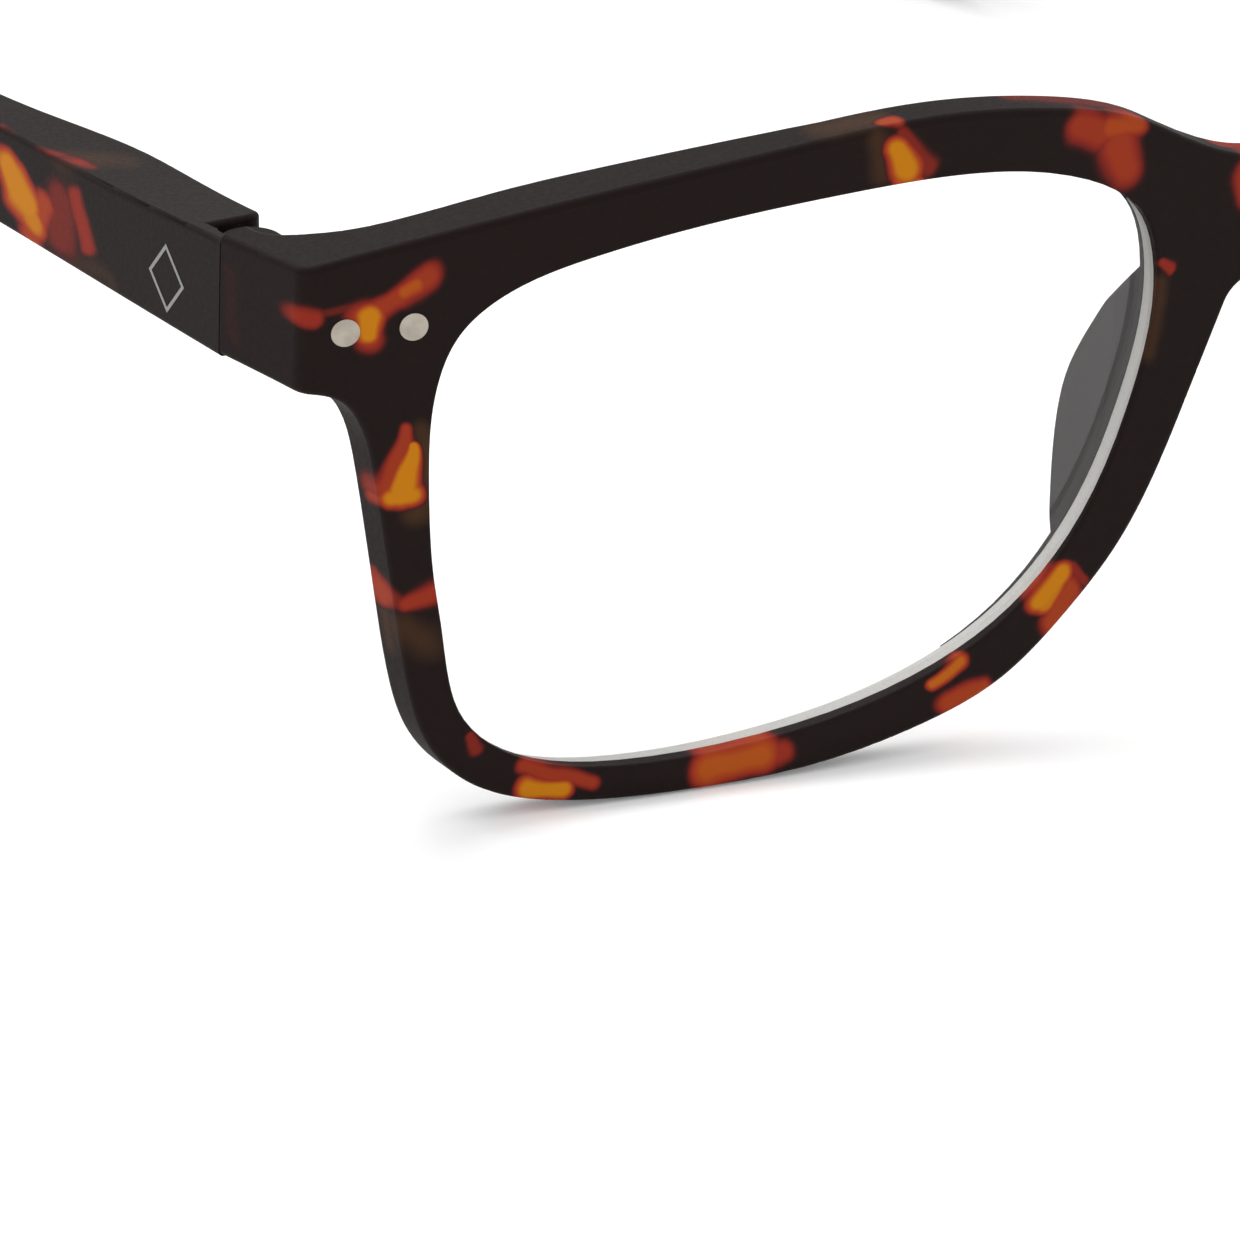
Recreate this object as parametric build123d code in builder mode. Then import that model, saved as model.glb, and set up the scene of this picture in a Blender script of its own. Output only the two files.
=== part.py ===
"""Reading glasses with a moulded plastic front, riveted spring hinges and folding temples.

World frame: millimetres, +Z up, +Y from the front towards the wearer's ears, X = 0 on the
bridge centre line, Z = 0 on the surface that the open glasses stand on.  "Right" is the
wearer's right, at -X.  Right pieces are built in full and the left ones are their mirror images.

The front and its hinges follow the front frame: tilted by the pantoscopic angle about X, with
y counted backwards from the bridge face and z counted upwards from the lowest rim edge.
"""
from build123d import *

import os
from math import atan2, cos, degrees, radians, sin, sqrt

# ------------------------------------------------------------------ driving dimensions
TILT = 3.0                  # pantoscopic tilt of the front, degrees
WRAP_RADIUS = 280.0         # radius of the front face, seen from above
RIM_DEPTH = 3.45            # front-to-back thickness of the rims
HALF_WIDTH = 72.0           # centre line to the outside of a hinge
CORNER_X = 70.7             # centre line to the front corner of an endpiece
SEAM_Y = 17.7               # seam between endpiece and temple, front frame
UNDERGROUND = -5.0          # height below every part, where whole-height shapes start
BELOW_HINGES = 20.0         # height between the rims and the hinges
SHORTEST_EDGE = 2.0         # edges of the outlines; anything shorter is left sharp
BROW_EDGE = 10.0            # edges along the brow are longer than this

LENS_CENTRE = (-36.0, 22.0)  # optical centre: front frame x and z
LENS_GROOVE = 0.22          # how far the lens reaches into the rim
REAR_LIP = 0.06             # how far the rim closes behind the lens
LENS_SETBACK = 0.45         # lens face behind the rim face, at the optical centre
LENS_THICKNESS = 2.7        # at the optical centre
LENS_CLEARANCE = 0.03       # all round the lens, in its groove
LENS_FRONT_RADIUS = 280.0
LENS_BACK_RADIUS = 360.0

HINGE_X = -68.8
HINGE_Y = 19.3
HINGE_Z = 35.6              # middle of the knuckle stack
KNUCKLE_RADIUS = 1.6
KNUCKLE_HALF = 1.1          # half height of the middle knuckle
WASHER_THICKNESS = 0.16
WASHER_RADIUS = 1.35
RUNNING_GAP = 0.02
STACK_HALF = 2.3            # half height of the whole knuckle stack
EAR_RADIUS = 2.0            # plastic ear over the hinge screw
EAR_NECK = 6.0              # length of the ear's straight part
EAR_GAP = 0.25              # between the ear and the temple
SCREW_HEAD_GAP = 0.12       # between the screw head and the ear
EAR_BOTTOM = HINGE_Z + STACK_HALF + 0.15
EAR_THICKNESS = 0.55

SCREW_RADIUS = 0.6
SCREW_HEAD_RADIUS = 1.05
SCREW_HEAD_HEIGHT = 0.6
SCREW_HEAD_FILLET = 0.15
SCREW_CLEARANCE = 0.05

PLATE_FRONT = 11.6          # front face of the hinge plate
PLATE_BACK = 12.6
PLATE_OUTER_X = -70.2
PLATE_INNER_X = -61.4
PLATE_HALF = 2.6
WEB_INNER_X = -67.4

RIVET_X = (-67.9, -63.4)
RIVET_Z = 35.6
RIVET_HEAD_RADIUS = 0.95
RIVET_HEAD_DEPTH = 0.6
RIVET_SHANK_RADIUS = 0.5
RIVET_TAIL_RADIUS = 0.8
RIVET_TAIL_HEIGHT = 0.3

TEMPLE_ROOT_Y = 19.75       # where the thick part of the temple starts behind the hinge
TEMPLE_SEAM_GAP = 0.12
TEMPLE_SKIN_X = -70.8       # inside of the skin that runs on to the seam
TEMPLE_BLANK_START = 12.0
SHOULDER_X = TEMPLE_SKIN_X + 3.2
SHOULDER_RADIUS = 1.3       # rounding of the step beside the hinge
TEMPLE_BEND_Y = 106.0
TEMPLE_BOTTOM_BEND_Y = 103.0
TEMPLE_STRAIGHT_END = 60.0  # the outside is flat up to here
TEMPLE_BEND_ANGLE = 42.0
TEMPLE_TOP_BEND_RADIUS = 30.0
TEMPLE_BOTTOM_BEND_RADIUS = 25.0

ROD_X = -68.5
ROD_Z = 36.45
ROD_RADIUS = 0.5
HOUSING_SIZE = (3.6, 13.4, 4.4)
HOUSING_FRONT = 19.75
HOUSING_FILLET = 0.3
HOUSING_WALL_END = 21.35
BORE_RADIUS = 1.25
NECK_SIZE = (1.9, 1.7)
NECK_END = 20.55
NECK_GAP = 0.1
ROD_GAP = 0.06
SPRING_START = 21.4
SPRING_END = 30.1
SPRING_TURNS = 9
SPRING_RADIUS = 0.9
SPRING_WIRE_RADIUS = 0.17
NUT_START = 30.15
NUT_END = 31.25
NUT_GAP = 0.12
PLUG_START = 32.2
PLUG_SLOT = (2 * BORE_RADIUS, 0.35)
PLUG_SLOT_DEPTH = 0.3

CORNER_FILLET = 1.5
FACE_FILLET = 0.5
RIVET_PROUD = 0.05
POCKET_GAP = 0.12
SCREW_SLOT_WIDTH = 0.32
SCREW_SLOT_DEPTH = 0.3
SCREW_SLOT_ANGLE = 35.0
RIM_BACK_X = 34.0
END_BACK_POINTS = [
    (-69.7, SEAM_Y), (-69.3, 15.9), (-68.5, 14.8), (-67.3, 13.75), (-65.6, 12.6), (-62.0, 11.35),
    (-55.0, 10.15), (-48.0, 8.65), (-41.0, 7.1),
]
RIM_STEP_TOP = 30.6         # below this the rims are no deeper than RIM_DEPTH
RIM_STEP_RADIUS = 2.0       # hollow curve from a rim's back to the underside of its endpiece
RIM_STEP_Y = 10.9
TEMPLE_INSIDE_POINTS = [
    (-66.4, 12.0), (-66.4, 22.0), (-66.15, 29.0), (-66.05, 36.5), (-66.65, 42.0), (-67.7, 48.5),
    (-68.35, 54.5), (-68.6, 62.0),
]
TIP_OUTSIDE_X = -68.2
TIP_END_Y = 158.0
TIP_THICKNESS = 3.3
TEMPLE_TOP_ROOT = [(12.0, 40.7), (24.0, 39.95), (36.0, 39.65)]
TEMPLE_BOTTOM_ROOT = [(12.0, 32.15), (24.0, 32.25), (36.0, 32.4)]
TEMPLE_BEND_TOP = 39.2
TEMPLE_BEND_BOTTOM = 32.2
BACK_FILLET = 0.5
LIP_FILLET = 0.2
TEMPLE_FILLET = 0.4
TEMPLE_END_EDGE = 1.0       # edges round the ends of a temple are shorter than this
STEP_FILLET = 0.4
PAD_FILLET = 0.5
PAD_START = 1.6             # depth behind the bridge face where the pads begin, inside the rims
PAD_REACH = 12.0
PAD_SPLAY = (-0.36, 0.933, 0.0)
PAD_NOSE_POINTS = [(-3.9, 33.5), (-5.4, 28.0), (-7.9, 21.5), (-11.2, 14.6), (-14.6, 10.3)]
PAD_LENS_POINTS = [(-6.9, 33.8), (-8.2, 28.4), (-10.6, 22.0), (-13.3, 16.6), (-16.4, 12.4)]
PAD_PROFILE_POINTS = [
    (1.0, 36.5), (5.0, 31.6), (8.1, 26.4), (9.3, 22.4), (8.4, 18.9), (5.2, 14.6), (1.0, 10.6),
]

# ------------------------------------------------------------------ frames
tilt_sin = sin(radians(TILT))
tilt_cos = cos(radians(TILT))
FACE_NORMAL = (0, -tilt_cos, -tilt_sin)
UP = (0, -tilt_sin, tilt_cos)
front_view = Plane(origin=(0, 0, 0), x_dir=(1, 0, 0), z_dir=FACE_NORMAL)
plan_view = Plane(origin=(0, 0, 0), x_dir=(1, 0, 0), z_dir=UP)
side_view = Plane(origin=(0, 0, 0), x_dir=(0, tilt_cos, tilt_sin), z_dir=(1, 0, 0))
REACH = 60                  # longer than anything that has to be cut through


def face_y(x, depth=0.0):
    """How far back the wrapped front lies at x, `depth` behind its face."""
    return WRAP_RADIUS - sqrt((WRAP_RADIUS - depth) ** 2 - x * x)


def seat(x, y, z):
    """A point of the front frame in world coordinates."""
    return Vector(x, y * tilt_cos - z * tilt_sin, y * tilt_sin + z * tilt_cos)


# ------------------------------------------------------------------ outlines, front frame
BRIDGE_TOP = (0, 39.1)
BROW_POINTS = [
    (-74.0, 39.4), (-62.0, 41.75), (-52.0, 43.35), (-38.0, 45.1), (-27.0, 45.95), (-17.2, 45.05),
    (-11.0, 43.25), (-8.5, 41.9),
]
RIM_POINTS = [
    (-74.0, 31.2), (-69.3, 31.2), (-67.9, 30.6), (-66.7, 29.0), (-65.7, 25.5), (-64.8, 20.0), (-64.0, 14.8),
    (-63.1, 9.7), (-61.6, 5.4), (-58.9, 2.5), (-52.5, 0.35), (-43.5, -0.1), (-34.0, 0.4), (-26.5, 2.0),
    (-20.7, 4.3), (-15.6, 8.5), (-12.0, 12.55), (-7.0, 22.35), (-5.95, 24.9),
]
OPENING_STEPS = 44
BRIDGE_LEG = 4.6            # straight stretch beside the nose, above the last rim point
BRIDGE_ARCH_RADIUS = 2.6
OPENING_POINTS = [
    (-62.05, 24.5), (-61.8, 30.2), (-60.2, 34.6), (-56.4, 37.5), (-51.5, 39.05), (-44.1, 40.4),
    (-33.5, 41.4), (-23.0, 41.45), (-15.2, 39.65), (-11.2, 36.85), (-9.8, 32.2), (-11.3, 23.4), (-14.6, 15.6), (-20.0, 9.3),
    (-28.0, 5.1), (-38.0, 2.9), (-48.5, 2.45), (-55.6, 4.0), (-59.3, 7.1), (-60.9, 13.3), (-61.75, 18.9),
]


def opening_sketch(growth):
    """The right lens opening, grown outwards by `growth`."""
    with BuildSketch() as opening:
        with BuildLine():
            outline = Spline(*OPENING_POINTS, periodic=True, mode=Mode.PRIVATE)
            grown = []
            for step in range(OPENING_STEPS):
                point = outline @ (step / OPENING_STEPS)
                along = outline % (step / OPENING_STEPS)
                grown.append(point + Vector(-along.Y, along.X) * growth)
            Spline(*grown, periodic=True)
        make_face()
    return opening.sketch


# ------------------------------------------------------------------ front
def is_upright(edge):
    return edge.geom_type == GeomType.LINE and abs((edge % 0.5).Z) > 0.9


def is_back(edge):
    """True for the edges of the rear faces of the rims, bridge and brow."""
    middle = edge @ 0.5
    depth = middle.Y * tilt_cos + middle.Z * tilt_sin - face_y(middle.X)
    return depth > RIM_DEPTH - BACK_FILLET and edge.length > SHORTEST_EDGE and not is_upright(edge)


def is_brow_back(edge):
    """True for the rear edges along the top of the front, between the hinges."""
    middle = edge @ 0.5
    return is_back(edge) and edge.length > BROW_EDGE and middle.Z > HINGE_Z


def is_rim_back(edge):
    """True for the rear edges along the outer outline of the rims, and under the bridge."""
    middle = edge @ 0.5
    on_rim = middle.Z < LENS_CENTRE[1]
    under_bridge = abs(middle.X) < 2 * BRIDGE_ARCH_RADIUS and middle.Z < HINGE_Z
    return is_back(edge) and (on_rim or under_bridge)


def build_rim_step():
    """What is cut away behind the rims, below the endpieces."""
    with BuildPart() as step:
        with BuildSketch(plan_view.offset(UNDERGROUND)):
            with Locations((0, WRAP_RADIUS)):
                Circle(WRAP_RADIUS - RIM_DEPTH)
        extrude(amount=REACH)
        with BuildSketch(side_view):
            with BuildLine():
                start = (RIM_STEP_Y, RIM_STEP_TOP - RIM_STEP_RADIUS)
                hollow = RadiusArc(start, (RIM_STEP_Y + RIM_STEP_RADIUS, RIM_STEP_TOP), RIM_STEP_RADIUS)
                Polyline(
                    hollow @ 1,
                    (REACH, RIM_STEP_TOP),
                    (REACH, UNDERGROUND),
                    (UNDERGROUND, UNDERGROUND),
                    (UNDERGROUND, start[1]),
                    hollow @ 0,
                )
            make_face()
        extrude(amount=2 * REACH, both=True, mode=Mode.INTERSECT)
    return step


def build_front_blank():
    """Rims, bridge and endpieces without openings: the plan shape cut to the front outline."""
    step = build_rim_step()
    with BuildPart() as blank:
        with BuildSketch(plan_view.offset(UNDERGROUND)):
            with BuildLine():
                ThreePointArc((-CORNER_X, face_y(CORNER_X)), (0, 0), (CORNER_X, face_y(CORNER_X)))
                with BuildLine(mode=Mode.PRIVATE) as right_end:
                    Polyline((-CORNER_X, face_y(CORNER_X)), (-HALF_WIDTH, SEAM_Y), END_BACK_POINTS[0])
                    Spline(*END_BACK_POINTS, (-RIM_BACK_X, face_y(RIM_BACK_X, RIM_DEPTH)))
                add(right_end.line)
                mirror(right_end.line, about=Plane.YZ)
                ThreePointArc(
                    (-RIM_BACK_X, face_y(RIM_BACK_X, RIM_DEPTH)),
                    (0, RIM_DEPTH),
                    (RIM_BACK_X, face_y(RIM_BACK_X, RIM_DEPTH)),
                )
            make_face()
        extrude(amount=REACH)
        with BuildSketch(front_view.offset(-REACH / 2)):
            with BuildLine():
                Spline(*BROW_POINTS, BRIDGE_TOP, *[(-x, z) for x, z in reversed(BROW_POINTS)])
                with BuildLine(mode=Mode.PRIVATE) as half:
                    rim = Spline(*RIM_POINTS)
                    leg = PolarLine(rim @ 1, BRIDGE_LEG, direction=rim % 1)
                    lean = degrees(atan2((leg % 1).Y, (leg % 1).X))
                    arch = JernArc(leg @ 1, leg % 1, BRIDGE_ARCH_RADIUS, -lean)
                    Line(arch @ 1, (0, (arch @ 1).Y))
                    Line(BROW_POINTS[0], rim @ 0)
                add(half.line)
                mirror(half.line, about=Plane.YZ)
            make_face()
        extrude(amount=REACH, mode=Mode.INTERSECT)

        corners = blank.edges().filter_by(GeomType.LINE).filter_by(
            lambda edge: abs(abs(edge.center().X) - CORNER_X) < 0.3 and edge.length > 5
        )
        fillet(corners, radius=CORNER_FILLET)
        face = blank.faces().filter_by(GeomType.CYLINDER).sort_by(Axis.Y)[0]
        fillet(face.edges().filter_by(lambda edge: edge.length > SHORTEST_EDGE), radius=FACE_FILLET)
        add(step.part, mode=Mode.SUBTRACT)
        fillet(blank.edges().filter_by(is_brow_back), radius=BACK_FILLET)
        fillet(blank.edges().filter_by(is_rim_back), radius=BACK_FILLET)
    return blank


def build_nose_pads():
    """Wings behind the nasal rims, splayed outwards towards their rear edges."""
    with BuildPart() as pads:
        with BuildSketch(front_view.offset(-PAD_START)):
            with BuildLine():
                nose_side = Spline(*PAD_NOSE_POINTS)
                lens_side = Spline(*PAD_LENS_POINTS)
                Line(nose_side @ 0, lens_side @ 0)
                Line(nose_side @ 1, lens_side @ 1)
            make_face()
        extrude(amount=PAD_REACH, dir=PAD_SPLAY)
        with BuildSketch(side_view):
            with BuildLine():
                rear = Spline(*PAD_PROFILE_POINTS)
                Line(rear @ 1, rear @ 0)
            make_face()
        extrude(amount=REACH, both=True, mode=Mode.INTERSECT)
        rear_edges = pads.edges().filter_by(
            lambda edge: edge.center().Y > 2 * PAD_START and edge.length > 10 * PAD_FILLET
        )
        fillet(rear_edges, radius=PAD_FILLET)
        mirror(about=Plane.YZ)
    return pads


def build_hinge_pocket():
    """Room in the right endpiece for the hinge plate, its webs and its knuckles."""
    with BuildPart() as pocket:
        with BuildSketch(plan_view.offset(HINGE_Z - PLATE_HALF - POCKET_GAP)):
            with BuildLine():
                Polyline(
                    (PLATE_OUTER_X - POCKET_GAP, PLATE_FRONT),
                    (PLATE_OUTER_X - POCKET_GAP, SEAM_Y + 2),
                    (PLATE_INNER_X + POCKET_GAP, SEAM_Y + 2),
                    (PLATE_INNER_X + POCKET_GAP, PLATE_FRONT),
                    close=True,
                )
            make_face()
        extrude(amount=2 * (PLATE_HALF + POCKET_GAP))
        with BuildSketch(plan_view.offset(HINGE_Z - STACK_HALF - POCKET_GAP)):
            with Locations((HINGE_X, HINGE_Y)):
                Circle(KNUCKLE_RADIUS + POCKET_GAP)
        extrude(amount=2 * (STACK_HALF + POCKET_GAP))
    return pocket


def build_ear():
    """Plastic ear that caps the knuckles, with a hole for the head of the hinge screw."""
    with BuildPart() as ear:
        with BuildSketch(plan_view.offset(EAR_BOTTOM)):
            with Locations((HINGE_X, HINGE_Y)):
                Circle(EAR_RADIUS)
            with Locations((HINGE_X, HINGE_Y - EAR_NECK / 2)):
                Rectangle(2 * EAR_RADIUS, EAR_NECK)
            with Locations((HINGE_X, HINGE_Y)):
                Circle(SCREW_HEAD_RADIUS + SCREW_HEAD_GAP, mode=Mode.SUBTRACT)
        extrude(amount=EAR_THICKNESS)
    return ear


def lens_centres():
    """Centres of the two spherical faces of the right lens."""
    x, z = LENS_CENTRE
    inward = Vector(-x / WRAP_RADIUS, sqrt(1 - (x / WRAP_RADIUS) ** 2))
    vertex = Vector(x, face_y(x)) + inward * LENS_SETBACK
    front_centre = vertex + inward * LENS_FRONT_RADIUS
    back_centre = vertex + inward * (LENS_THICKNESS + LENS_BACK_RADIUS)
    return seat(front_centre.X, front_centre.Y, z), seat(back_centre.X, back_centre.Y, z)


def build_lens(clearance=0.0):
    """The right lens, or with a clearance the room that its groove leaves for it."""
    front_centre, back_centre = lens_centres()
    with BuildPart() as lens:
        with BuildSketch(front_view.offset(-REACH / 2)):
            add(opening_sketch(LENS_GROOVE + clearance))
        extrude(amount=REACH)
        with Locations(front_centre):
            Sphere(LENS_FRONT_RADIUS + clearance, mode=Mode.INTERSECT)
        with Locations(back_centre):
            Sphere(LENS_BACK_RADIUS - clearance, mode=Mode.SUBTRACT)
    return lens


def build_rear_relief():
    """Opens the rim behind the lens, so that only a thin lip holds it."""
    with BuildPart() as relief:
        with BuildSketch(front_view.offset(-REACH / 2)):
            add(opening_sketch(LENS_GROOVE - REAR_LIP))
        extrude(amount=REACH)
        with Locations(lens_centres()[0]):
            Sphere(LENS_FRONT_RADIUS - LENS_THICKNESS / 2, mode=Mode.INTERSECT)
    return relief


def build_rivet(x):
    """Flush head, shank through the endpiece, and a tail turned over behind the hinge plate."""
    head_seat = face_y(x) + RIVET_HEAD_DEPTH
    with BuildPart() as rivet:
        with BuildSketch(front_view.offset(-head_seat)):
            with Locations((x, RIVET_Z)):
                Circle(RIVET_HEAD_RADIUS)
        extrude(amount=2 * RIVET_HEAD_DEPTH + 1)
        with BuildSketch(plan_view.offset(RIVET_Z - 5)):
            with Locations((0, WRAP_RADIUS)):
                Circle(WRAP_RADIUS + RIVET_PROUD)
        extrude(amount=10, mode=Mode.INTERSECT)
        with BuildSketch(front_view.offset(-head_seat)):
            with Locations((x, RIVET_Z)):
                Circle(RIVET_SHANK_RADIUS)
        extrude(amount=head_seat - PLATE_BACK)
        with BuildSketch(front_view.offset(-PLATE_BACK)):
            with Locations((x, RIVET_Z)):
                Circle(RIVET_TAIL_RADIUS)
        extrude(amount=-RIVET_TAIL_HEIGHT)
    return rivet


def build_front_frame(right_rivets):
    """The whole plastic front, with its lens grooves, rivet holes and hinge pockets."""
    blank = build_front_blank()
    pads = build_nose_pads()
    pocket = build_hinge_pocket()
    ear = build_ear()
    relief = build_rear_relief()
    groove = build_lens(LENS_CLEARANCE)
    with BuildPart() as front:
        add(blank.part)
        with BuildSketch(front_view.offset(-REACH / 2)):
            add(opening_sketch(0))
            mirror(about=Plane.YZ)
        extrude(amount=REACH, mode=Mode.SUBTRACT)
        face = front.faces().filter_by(GeomType.CYLINDER).sort_by(Axis.Y)[0]
        for lip in face.inner_wires():
            fillet(lip.edges(), radius=LIP_FILLET)
        add(pads.part)
        for piece in (relief, pocket, groove, *right_rivets):
            add(piece.part, mode=Mode.SUBTRACT)
            mirror(piece.part, about=Plane.YZ, mode=Mode.SUBTRACT)
        add(ear.part)
        mirror(ear.part, about=Plane.YZ)
    return front


# ------------------------------------------------------------------ hinge
def build_hinge_plate():
    """Plate behind the endpiece, with an upper and a lower knuckle on webs."""
    with BuildPart() as plate:
        with BuildSketch(plan_view.offset(HINGE_Z - PLATE_HALF)):
            with Locations(((PLATE_OUTER_X + PLATE_INNER_X) / 2, (PLATE_FRONT + PLATE_BACK) / 2)):
                Rectangle(PLATE_INNER_X - PLATE_OUTER_X, PLATE_BACK - PLATE_FRONT)
        extrude(amount=2 * PLATE_HALF)
        upper_start = HINGE_Z + KNUCKLE_HALF + WASHER_THICKNESS + 2 * RUNNING_GAP
        knuckle_height = HINGE_Z + STACK_HALF - upper_start
        for start in (upper_start, HINGE_Z - STACK_HALF):
            with BuildSketch(plan_view.offset(start)):
                with Locations((HINGE_X, HINGE_Y)):
                    Circle(KNUCKLE_RADIUS)
                with Locations(((PLATE_OUTER_X + WEB_INNER_X) / 2, (PLATE_FRONT + HINGE_Y) / 2)):
                    Rectangle(WEB_INNER_X - PLATE_OUTER_X, HINGE_Y - PLATE_FRONT)
                with Locations((HINGE_X, HINGE_Y)):
                    Circle(SCREW_RADIUS + RUNNING_GAP, mode=Mode.SUBTRACT)
            extrude(amount=knuckle_height)
        with BuildSketch(front_view.offset(-PLATE_FRONT)):
            with Locations(*[(x, RIVET_Z) for x in RIVET_X]):
                Circle(RIVET_SHANK_RADIUS)
        extrude(amount=PLATE_FRONT - PLATE_BACK, mode=Mode.SUBTRACT)
    return plate


def build_hinge_screw():
    """Slotted screw through the whole knuckle stack."""
    top = HINGE_Z + STACK_HALF
    with BuildPart() as screw:
        with BuildSketch(plan_view.offset(HINGE_Z - STACK_HALF)):
            with Locations((HINGE_X, HINGE_Y)):
                Circle(SCREW_RADIUS)
        extrude(amount=2 * STACK_HALF)
        with BuildSketch(plan_view.offset(top)):
            with Locations((HINGE_X, HINGE_Y)):
                Circle(SCREW_HEAD_RADIUS)
        extrude(amount=SCREW_HEAD_HEIGHT)
        fillet(screw.edges().sort_by(Axis.Z)[-1], radius=SCREW_HEAD_FILLET)
        with BuildSketch(plan_view.offset(top + SCREW_HEAD_HEIGHT)):
            with Locations((HINGE_X, HINGE_Y)):
                Rectangle(3 * SCREW_HEAD_RADIUS, SCREW_SLOT_WIDTH, rotation=SCREW_SLOT_ANGLE)
        extrude(amount=-SCREW_SLOT_DEPTH, mode=Mode.SUBTRACT)
    return screw


def build_hinge_washer(start):
    """Nylon washer between two knuckles."""
    with BuildPart() as washer:
        with BuildSketch(plan_view.offset(start)):
            with Locations((HINGE_X, HINGE_Y)):
                Circle(WASHER_RADIUS)
                Circle(SCREW_RADIUS + RUNNING_GAP, mode=Mode.SUBTRACT)
        extrude(amount=WASHER_THICKNESS)
    return washer


# ------------------------------------------------------------------ spring unit in the temple
def across_rod(y):
    """Plane square to the spring rod at y, seen from the front."""
    return Plane(origin=(ROD_X, y, ROD_Z), x_dir=(1, 0, 0), z_dir=(0, -1, 0))


def build_spring_tongue():
    """Middle knuckle with a neck and the rod that carries the spring."""
    hinge = seat(HINGE_X, HINGE_Y, HINGE_Z)
    with BuildPart() as tongue:
        with BuildSketch(plan_view.offset(HINGE_Z - KNUCKLE_HALF)):
            with Locations((HINGE_X, HINGE_Y)):
                Circle(KNUCKLE_RADIUS)
        extrude(amount=2 * KNUCKLE_HALF)
        with BuildSketch(across_rod(hinge.Y)):
            Rectangle(*NECK_SIZE)
        extrude(amount=hinge.Y - NECK_END)
        with BuildSketch(across_rod(NECK_END)):
            Circle(ROD_RADIUS)
        extrude(amount=NECK_END - NUT_END)
        with BuildSketch(plan_view.offset(HINGE_Z - STACK_HALF)):
            with Locations((HINGE_X, HINGE_Y)):
                Circle(SCREW_RADIUS + SCREW_CLEARANCE)
        extrude(amount=2 * STACK_HALF, mode=Mode.SUBTRACT)
    return tongue


def build_spring_housing():
    """Metal box in the temple, bored for the spring, with a slot for the tongue's neck."""
    width, length, height = HOUSING_SIZE
    with BuildPart() as housing:
        with BuildSketch(across_rod(HOUSING_FRONT)):
            RectangleRounded(width, height, HOUSING_FILLET)
        extrude(amount=-length)
        with BuildSketch(across_rod(HOUSING_FRONT)):
            Rectangle(NECK_SIZE[0] + 2 * NECK_GAP, NECK_SIZE[1] + 2 * NECK_GAP)
        extrude(amount=HOUSING_FRONT - NECK_END - NECK_GAP, mode=Mode.SUBTRACT)
        with BuildSketch(across_rod(HOUSING_FRONT)):
            Circle(ROD_RADIUS + ROD_GAP)
        extrude(amount=-length / 2, mode=Mode.SUBTRACT)
        with BuildSketch(across_rod(HOUSING_WALL_END)):
            Circle(BORE_RADIUS)
        extrude(amount=-length, mode=Mode.SUBTRACT)
    return housing


def build_coil_spring():
    """Compression spring on the rod, between the housing's wall and the nut."""
    coil_length = SPRING_END - SPRING_START - 2 * SPRING_WIRE_RADIUS
    with BuildPart() as spring:
        with BuildLine() as coil:
            Helix(
                pitch=coil_length / SPRING_TURNS,
                height=coil_length,
                radius=SPRING_RADIUS,
                center=(ROD_X, SPRING_START + SPRING_WIRE_RADIUS, ROD_Z),
                direction=(0, 1, 0),
            )
        with BuildSketch(Plane(origin=coil.line @ 0, z_dir=coil.line % 0)):
            Circle(SPRING_WIRE_RADIUS)
        sweep(path=coil.line, is_frenet=True)
    return spring


def build_rod_nut():
    """Collar fixed to the end of the rod."""
    with BuildPart() as nut:
        with BuildSketch(across_rod(NUT_START)):
            Circle(BORE_RADIUS - NUT_GAP)
            Circle(ROD_RADIUS, mode=Mode.SUBTRACT)
        extrude(amount=NUT_START - NUT_END)
    return nut


def build_housing_plug():
    """Nylon plug that closes the rear of the spring's bore."""
    housing_end = HOUSING_FRONT + HOUSING_SIZE[1]
    with BuildPart() as plug:
        with BuildSketch(across_rod(PLUG_START)):
            Circle(BORE_RADIUS)
        extrude(amount=PLUG_START - housing_end)
        with BuildSketch(across_rod(housing_end)):
            Rectangle(*PLUG_SLOT)
        extrude(amount=PLUG_SLOT_DEPTH, mode=Mode.SUBTRACT)
    return plug


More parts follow.
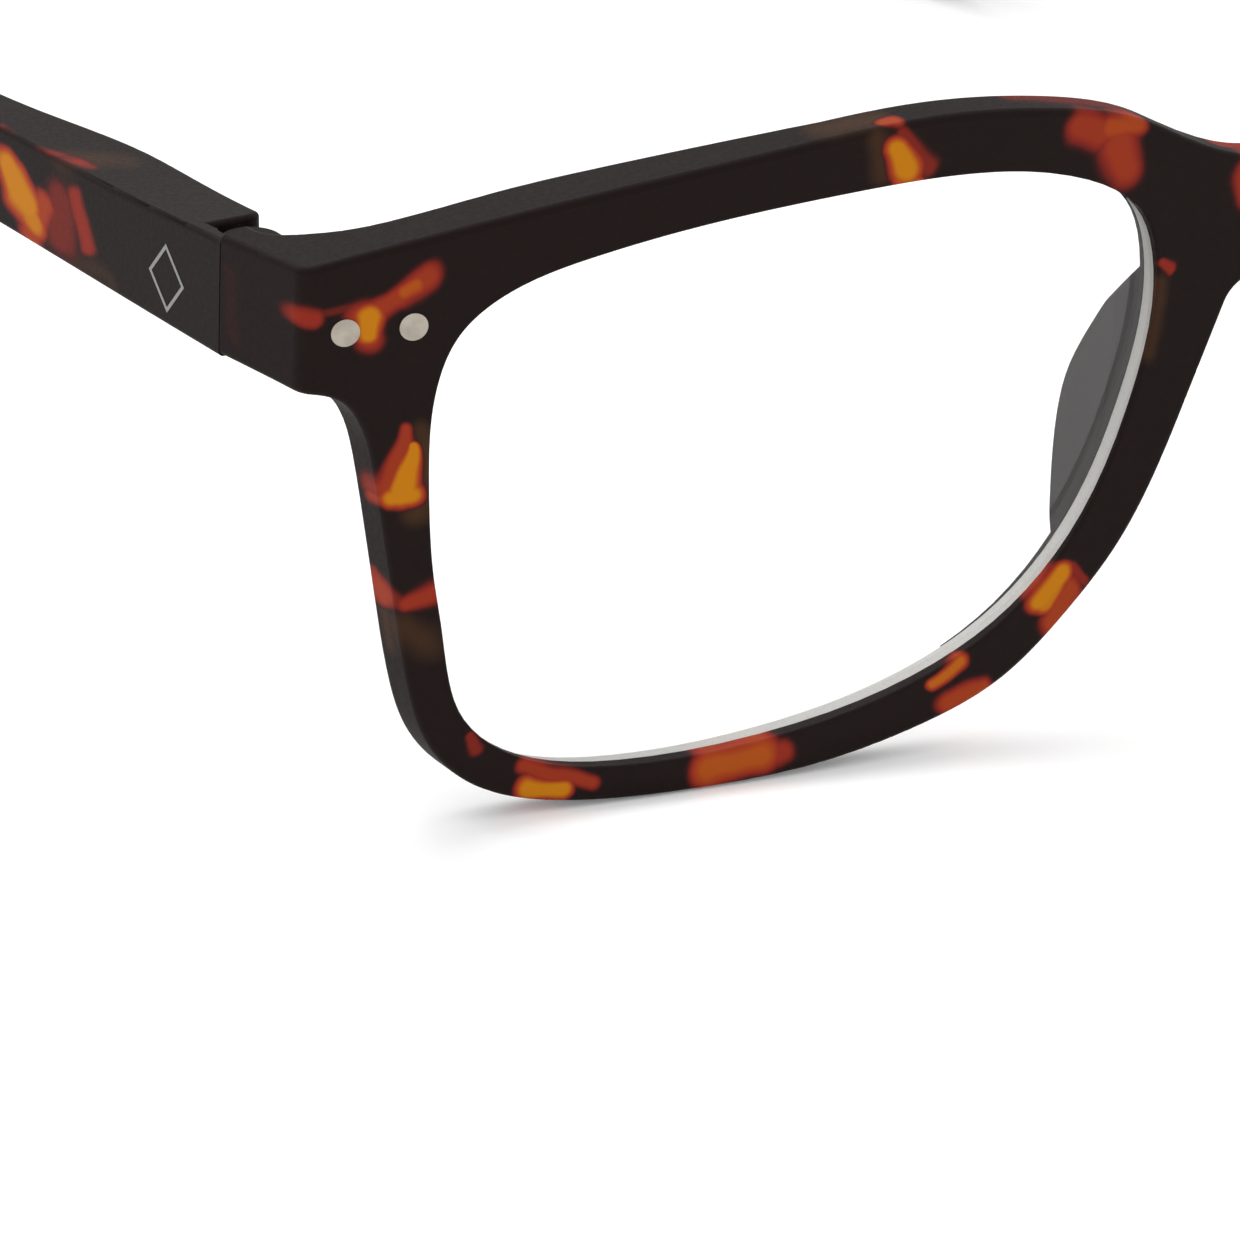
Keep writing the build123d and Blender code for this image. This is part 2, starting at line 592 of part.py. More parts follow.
# ------------------------------------------------------------------ temple
def build_temple_blank():
    """The temple before anything is cut for the hinge: its plan cut to its side outline."""
    with BuildPart() as blank:
        # seen from above: a thick root that thins behind the spring housing
        with BuildSketch(Plane.XY.offset(UNDERGROUND)):
            with BuildLine():
                outside = Line((-HALF_WIDTH, TEMPLE_BLANK_START), (-HALF_WIDTH, TEMPLE_STRAIGHT_END))
                sweep_in = TangentArc(outside @ 1, (TIP_OUTSIDE_X, TIP_END_Y), tangent=outside % 1)
                inside = Spline(*TEMPLE_INSIDE_POINTS)
                tail = TangentArc(inside @ 1, (TIP_OUTSIDE_X + TIP_THICKNESS, TIP_END_Y), tangent=inside % 1)
                Line(sweep_in @ 1, tail @ 1)
                Line(inside @ 0, outside @ 0)
            make_face()
        extrude(amount=REACH)
        # seen from the side: straight, then bent down behind the ear
        with BuildSketch(Plane.YZ.offset(-HALF_WIDTH - REACH / 4)):
            with BuildLine():
                top_root = ThreePointArc(*TEMPLE_TOP_ROOT)
                top_run = TangentArc(top_root @ 1, (TEMPLE_BEND_Y, TEMPLE_BEND_TOP), tangent=top_root % 1)
                top_bend = bend_down(top_run, TEMPLE_TOP_BEND_RADIUS)
                bottom_root = ThreePointArc(*TEMPLE_BOTTOM_ROOT)
                bottom_bend_start = (TEMPLE_BOTTOM_BEND_Y, TEMPLE_BEND_BOTTOM)
                bottom_run = TangentArc(bottom_root @ 1, bottom_bend_start, tangent=bottom_root % 1)
                bottom_bend = bend_down(bottom_run, TEMPLE_BOTTOM_BEND_RADIUS)
                bend = radians(TEMPLE_BEND_ANGLE)
                across = Vector(-sin(bend), -cos(bend))
                tip_radius = (bottom_bend @ 1 - top_bend @ 1).dot(across) / 2
                leg = ((top_bend @ 1).Y - tip_radius * (1 + cos(bend))) / sin(bend)
                top_leg = PolarLine(top_bend @ 1, leg, direction=top_bend % 1)
                tip = JernArc(top_leg @ 1, top_leg % 1, tip_radius, -180)
                Line(tip @ 1, bottom_bend @ 1)
                Line(top_root @ 0, bottom_root @ 0)
            make_face()
        extrude(amount=REACH / 2, mode=Mode.INTERSECT)
        long_edges = blank.edges().filter_by(
            lambda edge: edge.length > TEMPLE_END_EDGE and not is_upright(edge) and abs((edge % 0.5).X) < 0.9
        )
        fillet(long_edges, radius=TEMPLE_FILLET)
    return blank


def bend_down(run, radius):
    """Arc that carries on from the run until it slopes down by the bend angle."""
    slope = degrees(atan2((run % 1).Y, (run % 1).X))
    return JernArc(run @ 1, run % 1, radius, -(TEMPLE_BEND_ANGLE + slope))


def build_shoulder_cut():
    """Room for the hinge in front of the temple's rounded shoulder, inside its outer skin."""
    with BuildPart() as cut:
        with BuildSketch(Plane.XY.offset(BELOW_HINGES)):
            with BuildLine():
                halfway = SHOULDER_RADIUS * sin(radians(45))
                shoulder = ThreePointArc(
                    (SHOULDER_X, TEMPLE_ROOT_Y),
                    (SHOULDER_X + halfway, TEMPLE_ROOT_Y + SHOULDER_RADIUS - halfway),
                    (SHOULDER_X + SHOULDER_RADIUS, TEMPLE_ROOT_Y + SHOULDER_RADIUS),
                )
                Polyline(
                    shoulder @ 1,
                    (SHOULDER_X + 2 * SHOULDER_RADIUS, TEMPLE_ROOT_Y + SHOULDER_RADIUS),
                    (SHOULDER_X + 2 * SHOULDER_RADIUS, TEMPLE_BLANK_START),
                    (TEMPLE_SKIN_X, TEMPLE_BLANK_START),
                    (TEMPLE_SKIN_X, TEMPLE_ROOT_Y),
                    shoulder @ 0,
                )
            make_face()
        extrude(amount=REACH)
    return cut


def build_temple():
    """Temple with its seam end, and a pocket for the spring housing, open on the inside."""
    blank = build_temple_blank()
    shoulder_cut = build_shoulder_cut()
    width, length, height = HOUSING_SIZE
    with BuildPart() as temple:
        add(blank.part)
        with BuildSketch(front_view.offset(-SEAM_Y - TEMPLE_SEAM_GAP)):
            with Locations((-HALF_WIDTH, HINGE_Z)):
                Rectangle(REACH / 2, REACH / 2)
        extrude(amount=SEAM_Y, mode=Mode.SUBTRACT)
        add(shoulder_cut.part, mode=Mode.SUBTRACT)
        step_edges = temple.edges().filter_by(
            lambda edge: abs(edge.center().Y - TEMPLE_ROOT_Y) < SHOULDER_RADIUS / 2
            and edge.center().Z > HINGE_Z and edge.length > TEMPLE_END_EDGE and not is_upright(edge)
        )
        fillet(step_edges, radius=STEP_FILLET)
        with BuildSketch(plan_view.offset(BELOW_HINGES)):
            with Locations((HINGE_X, HINGE_Y)):
                Circle(EAR_RADIUS + EAR_GAP)
        extrude(amount=REACH / 2, mode=Mode.SUBTRACT)
        with BuildSketch(across_rod(HOUSING_FRONT + length)):
            RectangleRounded(width, height, HOUSING_FILLET)
            with Locations((width, 0)):
                Rectangle(2 * width, height - 2 * HOUSING_FILLET)
        extrude(amount=length + SHOULDER_RADIUS, mode=Mode.SUBTRACT)
    return temple


# ------------------------------------------------------------------ assembly
rivets = [build_rivet(x) for x in RIVET_X]
front_frame = build_front_frame(rivets)
front_frame.part.label = "front_frame"
os.makedirs("parts", exist_ok=True)
export_step(front_frame.part, "parts/front_frame.step")

right_pieces = {
    "lens": build_lens(),
    "rivet_outer": rivets[0],
    "rivet_inner": rivets[1],
    "hinge_plate": build_hinge_plate(),
    "hinge_screw": build_hinge_screw(),
    "hinge_washer_upper": build_hinge_washer(HINGE_Z + KNUCKLE_HALF + RUNNING_GAP),
    "hinge_washer_lower": build_hinge_washer(HINGE_Z - KNUCKLE_HALF - RUNNING_GAP - WASHER_THICKNESS),
    "spring_tongue": build_spring_tongue(),
    "spring_housing": build_spring_housing(),
    "coil_spring": build_coil_spring(),
    "rod_nut": build_rod_nut(),
    "housing_plug": build_housing_plug(),
    "temple": build_temple(),
}
for name, right in right_pieces.items():
    with BuildPart() as left:
        mirror(right.part, about=Plane.YZ)
    right.part.label = f"{name}_right"
    left.part.label = f"{name}_left"
    export_step(right.part, f"parts/{name}_right.step")
    export_step(left.part, f"parts/{name}_left.step")
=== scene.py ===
from math import cos, radians, sin

import bmesh
import bpy
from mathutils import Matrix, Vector


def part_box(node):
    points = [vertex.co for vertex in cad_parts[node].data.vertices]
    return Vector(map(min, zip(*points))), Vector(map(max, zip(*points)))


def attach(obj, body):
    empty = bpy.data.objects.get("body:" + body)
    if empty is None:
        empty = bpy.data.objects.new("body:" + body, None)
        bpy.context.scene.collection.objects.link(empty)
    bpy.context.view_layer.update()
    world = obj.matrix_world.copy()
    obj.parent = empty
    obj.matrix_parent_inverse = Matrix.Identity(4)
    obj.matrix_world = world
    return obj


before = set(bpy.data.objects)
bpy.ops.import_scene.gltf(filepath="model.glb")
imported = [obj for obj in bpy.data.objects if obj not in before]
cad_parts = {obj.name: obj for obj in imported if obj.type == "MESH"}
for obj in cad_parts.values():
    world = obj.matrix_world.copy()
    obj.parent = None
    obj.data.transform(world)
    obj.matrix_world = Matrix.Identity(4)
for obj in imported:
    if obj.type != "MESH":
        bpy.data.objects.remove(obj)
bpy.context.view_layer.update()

MM = 0.001
SIDES = ("right", "left")

# ---------------------------------------------------------------- view
VIEW_AZIMUTH = 31            # degrees to the wearer's right of straight ahead
VIEW_ELEVATION = 20.67
VIEW_DISTANCE = 0.7
VIEW_TARGET = Vector((-51.0, 0.0, 14.9)) * MM
FOCAL_LENGTH = 308.6         # millimetres, on a sensor 36 mm wide
CLIP_START = 0.01

# ---------------------------------------------------------------- colours, linear
BLACK = (0.0028, 0.0022, 0.0024)
DEEP_RED = (0.050, 0.005, 0.004)
RED = (0.240, 0.018, 0.008)
ORANGE = (0.340, 0.050, 0.005)
AMBER = (0.470, 0.165, 0.001)
BROWN = (0.050, 0.022, 0.008)

# Strokes of colour in the plastic of the right half.  Each runs from one point to another, in
# millimetres, with a radius at each end and a heat: 0 is black, 1 is amber.
FRONT_STROKES = [
    # endpiece
    ((-71.4, 7.3, 37.5), (-69.7, 6.9, 37.3), 0.9, 0.8, 0.42),
    ((-69.2, 6.7, 37.6), (-67.3, 6.2, 37.7), 0.4, 0.6, 0.26),
    ((-66.1, 6.0, 36.8), (-66.2, 6.1, 35.6), 1.2, 1.0, 1.00),
    ((-66.5, 6.1, 36.8), (-66.1, 6.1, 35.3), 1.6, 1.3, 0.50),
    ((-65.8, 5.9, 37.2), (-64.5, 5.5, 38.1), 1.2, 1.0, 0.50),
    ((-64.3, 5.5, 38.2), (-62.4, 5.0, 39.5), 1.1, 1.2, 0.50),
    ((-63.9, 5.4, 38.5), (-63.2, 5.2, 38.9), 0.8, 0.8, 0.70),
    # outer side of the rim: a spear, and a chevron that carries on round the side
    ((-63.8, 5.9, 28.7), (-64.7, 6.3, 24.9), 0.6, 1.3, 0.50),
    ((-63.5, 5.9, 27.4), (-63.9, 6.1, 24.1), 0.4, 1.2, 1.00),
    ((-64.5, 6.3, 24.0), (-63.4, 6.0, 24.0), 1.0, 1.0, 0.95),
    ((-63.7, 6.5, 16.4), (-61.8, 6.0, 17.1), 0.8, 1.2, 0.46),
    ((-64.9, 8.6, 18.0), (-63.8, 8.0, 16.3), 0.7, 0.8, 0.52),
    ((-59.1, 6.0, 6.2), (-58.4, 5.9, 5.2), 0.5, 0.6, 0.34),
    # bottom of the rim
    ((-54.8, 5.3, 1.9), (-52.7, 4.9, 1.5), 1.0, 0.8, 1.00),
    ((-55.2, 5.3, 3.5), (-50.6, 4.5, 1.7), 0.8, 0.8, 0.48),
    ((-42.0, 3.1, 1.6), (-38.6, 2.6, 1.9), 1.8, 1.8, 0.70),
    ((-37.3, 2.4, 1.8), (-36.8, 2.3, 2.0), 1.3, 1.2, 0.44),
    ((-26.0, 1.0, 4.9), (-23.7, 0.7, 6.2), 0.5, 0.8, 0.78),
    ((-24.8, 0.9, 3.4), (-21.8, 0.6, 4.0), 1.2, 1.0, 0.56),
    # nose side of the rim
    ((-16.5, -0.1, 11.3), (-17.9, 0.1, 9.8), 1.2, 1.1, 1.00),
    ((-17.0, 0.0, 10.5), (-17.5, 0.1, 9.4), 1.3, 1.0, 0.90),
    ((-15.4, -0.1, 10.1), (-17.0, 0.1, 7.9), 1.2, 1.2, 0.56),
    ((-15.6, -0.2, 11.6), (-14.3, -0.2, 10.8), 0.7, 0.5, 0.36),
    ((-9.5, -1.6, 32.9), (-8.8, -1.6, 32.3), 0.4, 0.5, 0.40),
    # brow and bridge
    ((-16.5, -1.8, 43.5), (-14.9, -1.9, 42.9), 1.5, 1.6, 0.48),
    ((-14.0, -1.9, 43.1), (-12.0, -2.0, 43.0), 1.3, 1.2, 0.62),
    ((-13.3, -1.9, 41.6), (-12.6, -1.8, 39.9), 2.0, 1.6, 0.50),
    ((-30.1, -0.7, 44.0), (-29.4, -0.7, 42.7), 1.1, 1.5, 1.00),
    ((-29.8, -0.6, 41.9), (-28.5, -0.7, 41.6), 0.8, 0.7, 0.70),
    ((-29.6, -0.8, 45.1), (-27.7, -0.9, 42.5), 0.8, 0.9, 0.34),
    ((-2.8, -2.0, 38.1), (-2.6, -1.9, 36.7), 1.8, 1.5, 0.55),
]
TEMPLE_STROKES = [
    ((-72.0, 45.3, 37.2), (-72.0, 43.0, 35.1), 1.2, 1.7, 1.00),
    ((-72.0, 43.7, 35.2), (-72.0, 41.7, 34.0), 1.5, 1.2, 0.90),
    ((-72.0, 40.1, 35.9), (-72.0, 42.3, 33.1), 1.2, 1.2, 0.55),
    ((-72.0, 37.6, 37.0), (-72.0, 38.0, 34.0), 1.7, 1.9, 0.30),
    ((-72.0, 35.6, 38.0), (-72.0, 34.2, 34.6), 0.8, 0.9, 0.40),
    ((-71.7, 14.7, 38.4), (-71.7, 14.3, 33.8), 0.7, 0.7, 0.12),
]
DEEP_STROKES = [
    # as thick as they are wide: top of the temple, top of the brow and bridge, and the nose pad
    ((-71.9, 41.0, 40.2), (-70.9, 35.4, 40.2), 1.0, 1.0, 0.46),
    ((-72.0, 46.5, 40.2), (-72.0, 43.4, 40.2), 1.0, 0.7, 0.44),
    ((-20.0, 1.4, 45.9), (-12.7, 0.4, 44.6), 1.5, 2.2, 0.27),
    ((-30.6, 0.4, 46.0), (-29.8, 0.2, 45.7), 0.8, 0.9, 0.62),
    ((-4.2, 0.6, 39.8), (-1.8, 0.6, 39.4), 1.2, 1.4, 0.40),
    ((-11.3, 8.0, 13.8), (-12.1, 8.0, 12.1), 1.1, 0.9, 0.28),
]
# Here the last number is the strength of the brown haze that replaces the black.
BROWN_STROKES = [
    ((-62.6, 5.8, 28.4), (-62.8, 5.9, 22.6), 0.9, 1.2, 1.0),
    ((-63.8, 6.8, 14.8), (-62.2, 6.4, 13.6), 1.2, 1.6, 0.8),
    ((-63.9, 8.4, 15.4), (-63.6, 8.4, 12.8), 0.8, 0.7, 0.9),
    ((-31.6, -0.6, 45.0), (-31.0, -0.6, 42.4), 1.0, 1.0, 0.9),
    ((-34.8, 1.4, 46.2), (-30.8, 1.2, 46.0), 1.3, 1.3, 1.0),
    ((-9.6, -1.5, 31.5), (-10.2, -1.3, 26.6), 0.8, 0.9, 0.9),
    ((-71.0, 37.5, 40.0), (-68.5, 35.5, 40.0), 1.8, 1.2, 0.8),
    ((-72.0, 36.5, 33.2), (-72.0, 31.0, 33.0), 1.0, 0.8, 0.6),
]
FRONT_SQUEEZE = (1.0, 0.35, 1.0)       # front strokes run deep in y
TEMPLE_SQUEEZE = (0.3, 0.6, 1.0)       # temple strokes run deep in x
DEEP_SQUEEZE = (1.0, 1.0, 1.0)
BROWN_SQUEEZE = (1.0, 0.7, 1.0)
STROKE_EDGE = 0.75                     # part of a stroke's radius over which it fades
BROWN_EDGE = 0.95
STROKE_BLEND = 0.10                    # how softly neighbouring strokes join

SWAY = 1.4 * MM                        # the strokes' edges wander up to half this either way
FREE_START_X = (1 * MM, 4 * MM)        # the free pattern fades in over these stretches
FREE_START_Y = (47 * MM, 52 * MM)
HEAT_STOPS = [(0.0, BLACK), (0.20, DEEP_RED), (0.42, RED), (0.66, ORANGE), (0.95, AMBER)]
GLASS_IOR = 1.5


class Shader:
    """A material being built, with one short call for each kind of node it needs."""

    def __init__(self, name):
        self.material = bpy.data.materials.new(name)
        self.material.use_nodes = True
        self.tree = self.material.node_tree
        self.tree.nodes.clear()

    def node(self, kind, inputs=None, **settings):
        made = self.tree.nodes.new("ShaderNode" + kind)
        for setting, value in settings.items():
            setattr(made, setting, value)
        for socket, value in (inputs or {}).items():
            self.feed(made.inputs[socket], value)
        return made

    def feed(self, socket, value):
        if isinstance(value, bpy.types.NodeSocket):
            self.tree.links.new(value, socket)
        else:
            socket.default_value = value

    def math(self, operation, *values, clamp=False):
        return self.node("Math", dict(enumerate(values)), operation=operation, use_clamp=clamp).outputs[0]

    def vector(self, operation, *values):
        made = self.node("VectorMath", dict(enumerate(values)), operation=operation)
        return made.outputs["Value" if operation in ("LENGTH", "DOT_PRODUCT") else "Vector"]

    def spread(self, value, low, high, start=0.0, end=1.0, kind="SMOOTHSTEP"):
        """start where value is under low, end where it is over high, and smooth between them."""
        inputs = {"Value": value, "From Min": low, "From Max": high, "To Min": start, "To Max": end}
        return self.node("MapRange", inputs, interpolation_type=kind).outputs["Result"]

    def noise(self, position, scale, detail=2.0, roughness=0.5, output="Fac"):
        inputs = {"Vector": position, "Scale": scale, "Detail": detail, "Roughness": roughness}
        return self.node("TexNoise", inputs).outputs[output]

    def mix(self, factor, a, b):
        made = self.node("Mix", {"Factor": factor}, data_type="RGBA")
        self.feed(made.inputs["A"], a if isinstance(a, bpy.types.NodeSocket) else (*a, 1))
        self.feed(made.inputs["B"], b if isinstance(b, bpy.types.NodeSocket) else (*b, 1))
        return made.outputs["Result"]

    def ramp(self, factor, stops):
        made = self.node("ValToRGB", {"Fac": factor})
        elements = made.color_ramp.elements
        while len(elements) < len(stops):
            elements.new(1.0)
        for element, (place, colour) in zip(elements, stops):
            element.position = place
            element.color = (*colour, 1)
        return made.outputs["Color"]

    def bump(self, height, strength, distance):
        inputs = {"Height": height, "Strength": strength, "Distance": distance}
        return self.node("Bump", inputs).outputs["Normal"]

    def principled(self, **sockets):
        named = {name.replace("_", " "): value for name, value in sockets.items()}
        return self.node("BsdfPrincipled", named).outputs["BSDF"]

    def finish(self, surface):
        self.node("OutputMaterial", {"Surface": surface})
        return self.material


# ---------------------------------------------------------------- plastic
def stroke_heat(shader, position, strokes, squeeze, edge=STROKE_EDGE):
    """Heat of the hottest stroke at each point, falling to none over the edge of each stroke.

    Distances are counted after squeezing space, so a stroke runs deep where the squeeze is small.
    """
    squeezed = shader.vector("MULTIPLY", position, squeeze)
    heat = 0.0
    for start, end, start_radius, end_radius, peak in strokes:
        first = Vector(start) * Vector(squeeze) * MM
        along = Vector(end) * Vector(squeeze) * MM - first
        from_first = shader.vector("SUBTRACT", squeezed, tuple(first))
        projected = shader.vector("DOT_PRODUCT", from_first, tuple(along))
        part = shader.math("DIVIDE", projected, along.length_squared, clamp=True)
        nearest = shader.node("VectorMath", {0: tuple(along), "Scale": part}, operation="SCALE")
        gap = shader.vector("LENGTH", shader.vector("SUBTRACT", from_first, nearest.outputs["Vector"]))
        radius = shader.math("MULTIPLY_ADD", part, (end_radius - start_radius) * MM, start_radius * MM)
        reach = shader.math("DIVIDE", gap, radius)
        own_heat = shader.spread(reach, 1 - edge, 1.0 + edge / 2, peak, 0.0)
        heat = shader.math("SMOOTH_MAX", own_heat, heat, STROKE_BLEND)
    return heat


def tortoise(name):
    """Soft-coated dark plastic with warm patches: red at their edges, amber at their hearts."""
    s = Shader(name)
    place = s.node("TexCoord").outputs["Object"]
    sway = s.vector("SUBTRACT", s.noise(place, 260.0, 1.0, output="Color"), (0.5, 0.5, 0.5))
    warped = s.vector("ADD", place, s.vector("MULTIPLY", sway, (SWAY, SWAY, SWAY)))
    xyz = s.node("SeparateXYZ", {"Vector": place})

    front_heat = stroke_heat(s, warped, FRONT_STROKES, FRONT_SQUEEZE)
    temple_heat = stroke_heat(s, warped, TEMPLE_STROKES, TEMPLE_SQUEEZE)
    deep_heat = stroke_heat(s, warped, DEEP_STROKES, DEEP_SQUEEZE)
    chosen = s.math("MAXIMUM", s.math("MAXIMUM", front_heat, temple_heat), deep_heat)

    streaks = s.vector("MULTIPLY", warped, (1.0, 0.7, 1.5))
    cloud = s.noise(streaks, 88.0, 1.0, 0.4)
    warmth = s.spread(s.noise(place, 60.0, 1.0), 0.42, 0.58, 0.45, 1.0)
    free = s.math("MULTIPLY", s.spread(cloud, 0.575, 0.665), warmth)
    left_side = s.spread(xyz.outputs["X"], *FREE_START_X)
    rear = s.spread(xyz.outputs["Y"], *FREE_START_Y)
    elsewhere = s.math("MAXIMUM", left_side, rear)
    heat = s.math("MAXIMUM", chosen, s.math("MULTIPLY", free, elsewhere))

    haze = stroke_heat(s, warped, BROWN_STROKES, BROWN_SQUEEZE, edge=BROWN_EDGE)
    ground = s.mix(haze, BLACK, BROWN)
    warm = s.ramp(heat, HEAT_STOPS)
    colour = s.mix(s.spread(heat, 0.0, 0.25), ground, warm)

    grain = s.noise(place, 6000.0, 2.0, 0.5)
    roughness = s.spread(s.noise(place, 3000.0, 2.0), 0.3, 0.7, 0.60, 0.66)
    surface = s.principled(
        Base_Color=colour,
        Roughness=roughness,
        Specular_IOR_Level=0.11,
        Normal=s.bump(grain, 0.10, 0.00002),
    )
    return s.finish(surface)


# ---------------------------------------------------------------- lens, metal and small parts
def lens_glass(name):
    """Clear lens with a ground, frosted edge."""
    s = Shader(name)
    coordinates = s.node("TexCoord")
    facing = s.math("ABSOLUTE", s.vector("DOT_PRODUCT", coordinates.outputs["Normal"], (0.0, 1.0, 0.0)))
    ground_edge = s.spread(facing, 0.55, 0.75, 1.0, 0.0)
    clear = s.principled(
        Base_Color=(1.0, 1.0, 1.0, 1.0),
        Roughness=0.0,
        IOR=GLASS_IOR,
        Specular_IOR_Level=0.3,
        Transmission_Weight=1.0,
    )
    speckle = s.noise(coordinates.outputs["Object"], 5000.0, 2.0)
    frosted = s.principled(
        Base_Color=s.mix(speckle, (0.42, 0.41, 0.39), (0.62, 0.61, 0.58)),
        Roughness=0.6,
        Normal=s.bump(speckle, 0.3, 0.00005),
    )
    return s.finish(s.node("MixShader", {0: ground_edge, 1: clear, 2: frosted}).outputs[0])


def satin_metal(name, colour, roughness, brush):
    """Plated metal with a fine brushed grain along brush."""
    s = Shader(name)
    place = s.node("TexCoord").outputs["Object"]
    lines = s.noise(s.vector("MULTIPLY", place, brush), 4000.0, 3.0, 0.6)
    tone = s.spread(s.noise(place, 900.0, 2.0), 0.3, 0.7)
    darker = tuple(part * 0.82 for part in colour)
    surface = s.principled(
        Base_Color=s.mix(tone, darker, colour),
        Metallic=1.0,
        Roughness=s.spread(lines, 0.3, 0.7, roughness - 0.06, roughness + 0.08),
        Normal=s.bump(lines, 0.25, 0.00002),
    )
    return s.finish(surface)


def nylon(name):
    """Natural nylon, slightly cloudy."""
    s = Shader(name)
    place = s.node("TexCoord").outputs["Object"]
    cloudy = s.noise(place, 1500.0, 2.0)
    surface = s.principled(
        Base_Color=s.mix(cloudy, (0.60, 0.58, 0.51), (0.76, 0.75, 0.69)),
        Roughness=s.spread(cloudy, 0.3, 0.7, 0.38, 0.5),
        Normal=s.bump(cloudy, 0.15, 0.00003),
    )
    return s.finish(surface)


def print_ink(name):
    """Pale grey printing ink, a little uneven."""
    s = Shader(name)
    place = s.node("TexCoord").outputs["Object"]
    uneven = s.noise(place, 3500.0, 2.0)
    surface = s.principled(
        Base_Color=s.mix(uneven, (0.17, 0.17, 0.17), (0.26, 0.26, 0.26)),
        Roughness=0.55,
        Normal=s.bump(uneven, 0.2, 0.00001),
    )
    return s.finish(surface)


def dress(node, material):
    """Gives a CAD node its material."""
    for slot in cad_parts[node].material_slots:
        slot.material = material


plastic = tortoise("tortoise_plastic")
glass = lens_glass("lens_glass")
rivet_metal = satin_metal("rivet_metal", (0.42, 0.38, 0.32), 0.42, (1.0, 0.2, 6.0))
hinge_metal = satin_metal("hinge_metal", (0.56, 0.53, 0.48), 0.30, (1.0, 0.15, 1.0))
spring_wire = satin_metal("spring_wire", (0.52, 0.52, 0.52), 0.25, (1.0, 1.0, 0.3))
clear_nylon = nylon("clear_nylon")
ink = print_ink("print_ink")

dress("front_frame", plastic)
for side in SIDES:
    dress(f"temple_{side}", plastic)
    dress(f"lens_{side}", glass)
    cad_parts[f"lens_{side}"].visible_shadow = False
    for place in ("outer", "inner"):
        dress(f"rivet_{place}_{side}", rivet_metal)
    for metal_part in ("hinge_plate", "hinge_screw", "spring_tongue", "spring_housing", "rod_nut"):
        dress(f"{metal_part}_{side}", hinge_metal)
    dress(f"coil_spring_{side}", spring_wire)
    for washer in ("hinge_washer_upper", "hinge_washer_lower", "housing_plug"):
        dress(f"{washer}_{side}", clear_nylon)


# ---------------------------------------------------------------- printed mark
MARK_LENGTH = 4.8 * MM
MARK_HEIGHT = 4.8 * MM
MARK_LINE = 0.26 * MM
MARK_SLANT = 1.41               # the line's width along an axis, on a side at 45 degrees
MARK_THICKNESS = 0.02 * MM
MARK_FROM_SEAM = 7.4 * MM       # from the temple's front end to the mark's middle
MARK_HEIGHT_UP = 35.6 * MM


def lozenge_mark(side):
    """A plain lozenge outline printed on the outer face of a temple."""
    low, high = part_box(f"temple_{side}")
    outward = -1 if side == "right" else 1
    face_x = low[0] if side == "right" else high[0]
    middle = Vector((face_x, low[1] + MARK_FROM_SEAM, MARK_HEIGHT_UP))
    shape = bmesh.new()
    rings = []
    for depth in (MARK_THICKNESS, 0.0):
        for inset in (0.0, MARK_LINE):
            half_length = MARK_LENGTH / 2 - inset * MARK_SLANT
            half_height = MARK_HEIGHT / 2 - inset * MARK_SLANT
            corners = [(half_length, 0), (0, half_height), (-half_length, 0), (0, -half_height)]
            rings.append([
                shape.verts.new(middle + Vector((outward * depth, along, up)))
                for along, up in corners
            ])
    outer, inner, outer_deep, inner_deep = rings
    bands = ((outer, inner), (inner, inner_deep), (inner_deep, outer_deep), (outer_deep, outer))
    for first, second in bands:
        for i in range(len(outer)):
            after = (i + 1) % len(outer)
            shape.faces.new((first[i], first[after], second[after], second[i]))
    bmesh.ops.recalc_face_normals(shape, faces=shape.faces)
    mesh = bpy.data.meshes.new(f"temple_mark_{side}")
    shape.to_mesh(mesh)
    shape.free()
    mark = bpy.data.objects.new(f"temple_mark_{side}", mesh)
    bpy.context.scene.collection.objects.link(mark)
    mark.data.materials.append(ink)
    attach(mark, f"{side}_temple")


for side in SIDES:
    lozenge_mark(side)


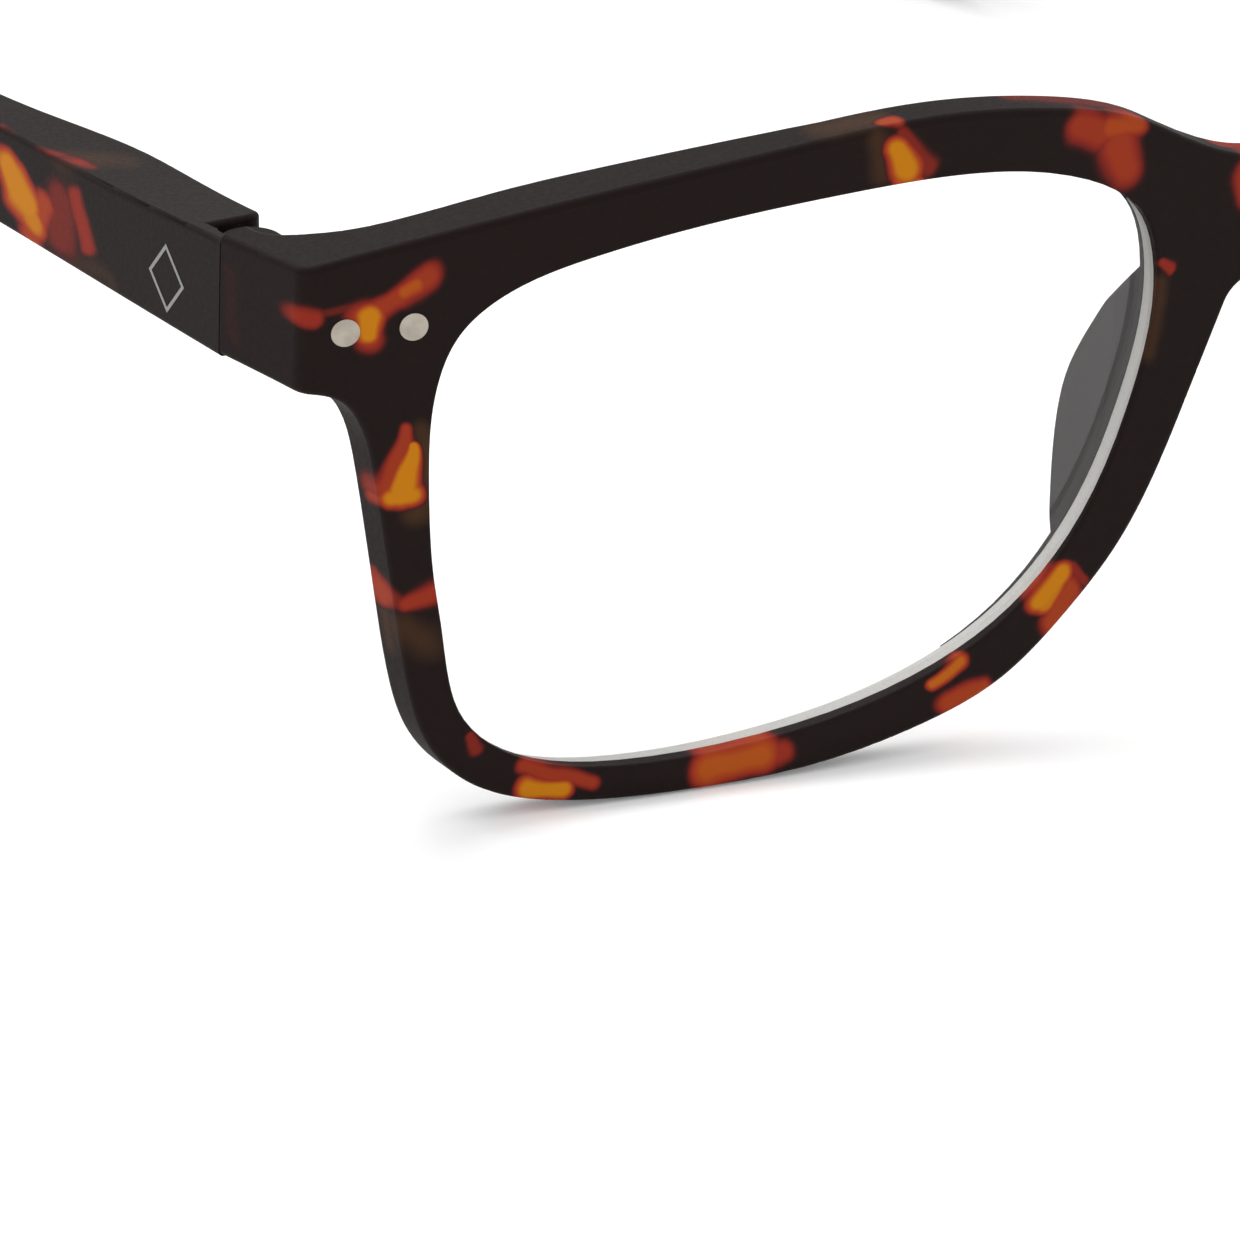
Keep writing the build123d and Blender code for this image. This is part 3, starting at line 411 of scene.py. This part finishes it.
# ---------------------------------------------------------------- floor, light and camera
FLOOR_SIZE = 6.0
SKY_STRENGTH = 0.95
LAMP_PLACE = (-0.10, 0.35, 0.55)
LAMP_AIM = (0, 0.02, 0.02)
LAMP_SIZE = (0.7, 0.5)
LAMP_POWER = 2.0


def white_floor():
    """A wide white table under the object, at z = 0."""
    bpy.ops.mesh.primitive_plane_add(size=FLOOR_SIZE, location=(0, 0, 0))
    floor = bpy.context.object
    floor.name = "floor"
    s = Shader("white_table")
    surface = s.principled(
        Base_Color=(0.92, 0.92, 0.92, 1.0),
        Roughness=0.9,
        Specular_IOR_Level=0.0,
        Emission_Color=(1.0, 1.0, 1.0, 1.0),
        Emission_Strength=0.12,
    )
    floor.data.materials.append(s.finish(surface))


def soft_sky():
    """Even white light from all round."""
    world = bpy.data.worlds.new("studio")
    bpy.context.scene.world = world
    world.use_nodes = True
    background = world.node_tree.nodes["Background"]
    background.inputs["Color"].default_value = (1, 1, 1, 1)
    background.inputs["Strength"].default_value = SKY_STRENGTH


def soft_box(name, place, aim, size, power):
    """A rectangular lamp at place, turned towards aim."""
    lamp = bpy.data.lights.new(name, "AREA")
    lamp.shape = "RECTANGLE"
    lamp.size, lamp.size_y = size
    lamp.energy = power
    holder = bpy.data.objects.new(name, lamp)
    holder.location = place
    holder.rotation_euler = (Vector(aim) - Vector(place)).to_track_quat("-Z", "Y").to_euler()
    bpy.context.scene.collection.objects.link(holder)


def main_camera():
    """The camera, at VIEW_DISTANCE from the target."""
    turn = radians(VIEW_AZIMUTH)
    rise = radians(VIEW_ELEVATION)
    forward = Vector((sin(turn) * cos(rise), cos(turn) * cos(rise), -sin(rise)))
    camera_data = bpy.data.cameras.new("camera")
    camera_data.lens = FOCAL_LENGTH
    camera_data.clip_start = CLIP_START
    camera = bpy.data.objects.new("camera", camera_data)
    camera.location = VIEW_TARGET - VIEW_DISTANCE * forward
    camera.rotation_euler = forward.to_track_quat("-Z", "Y").to_euler()
    bpy.context.scene.collection.objects.link(camera)
    bpy.context.scene.camera = camera


white_floor()
soft_sky()
soft_box("top_rear", LAMP_PLACE, LAMP_AIM, LAMP_SIZE, LAMP_POWER)
main_camera()
bpy.context.scene.view_settings.view_transform = "Standard"
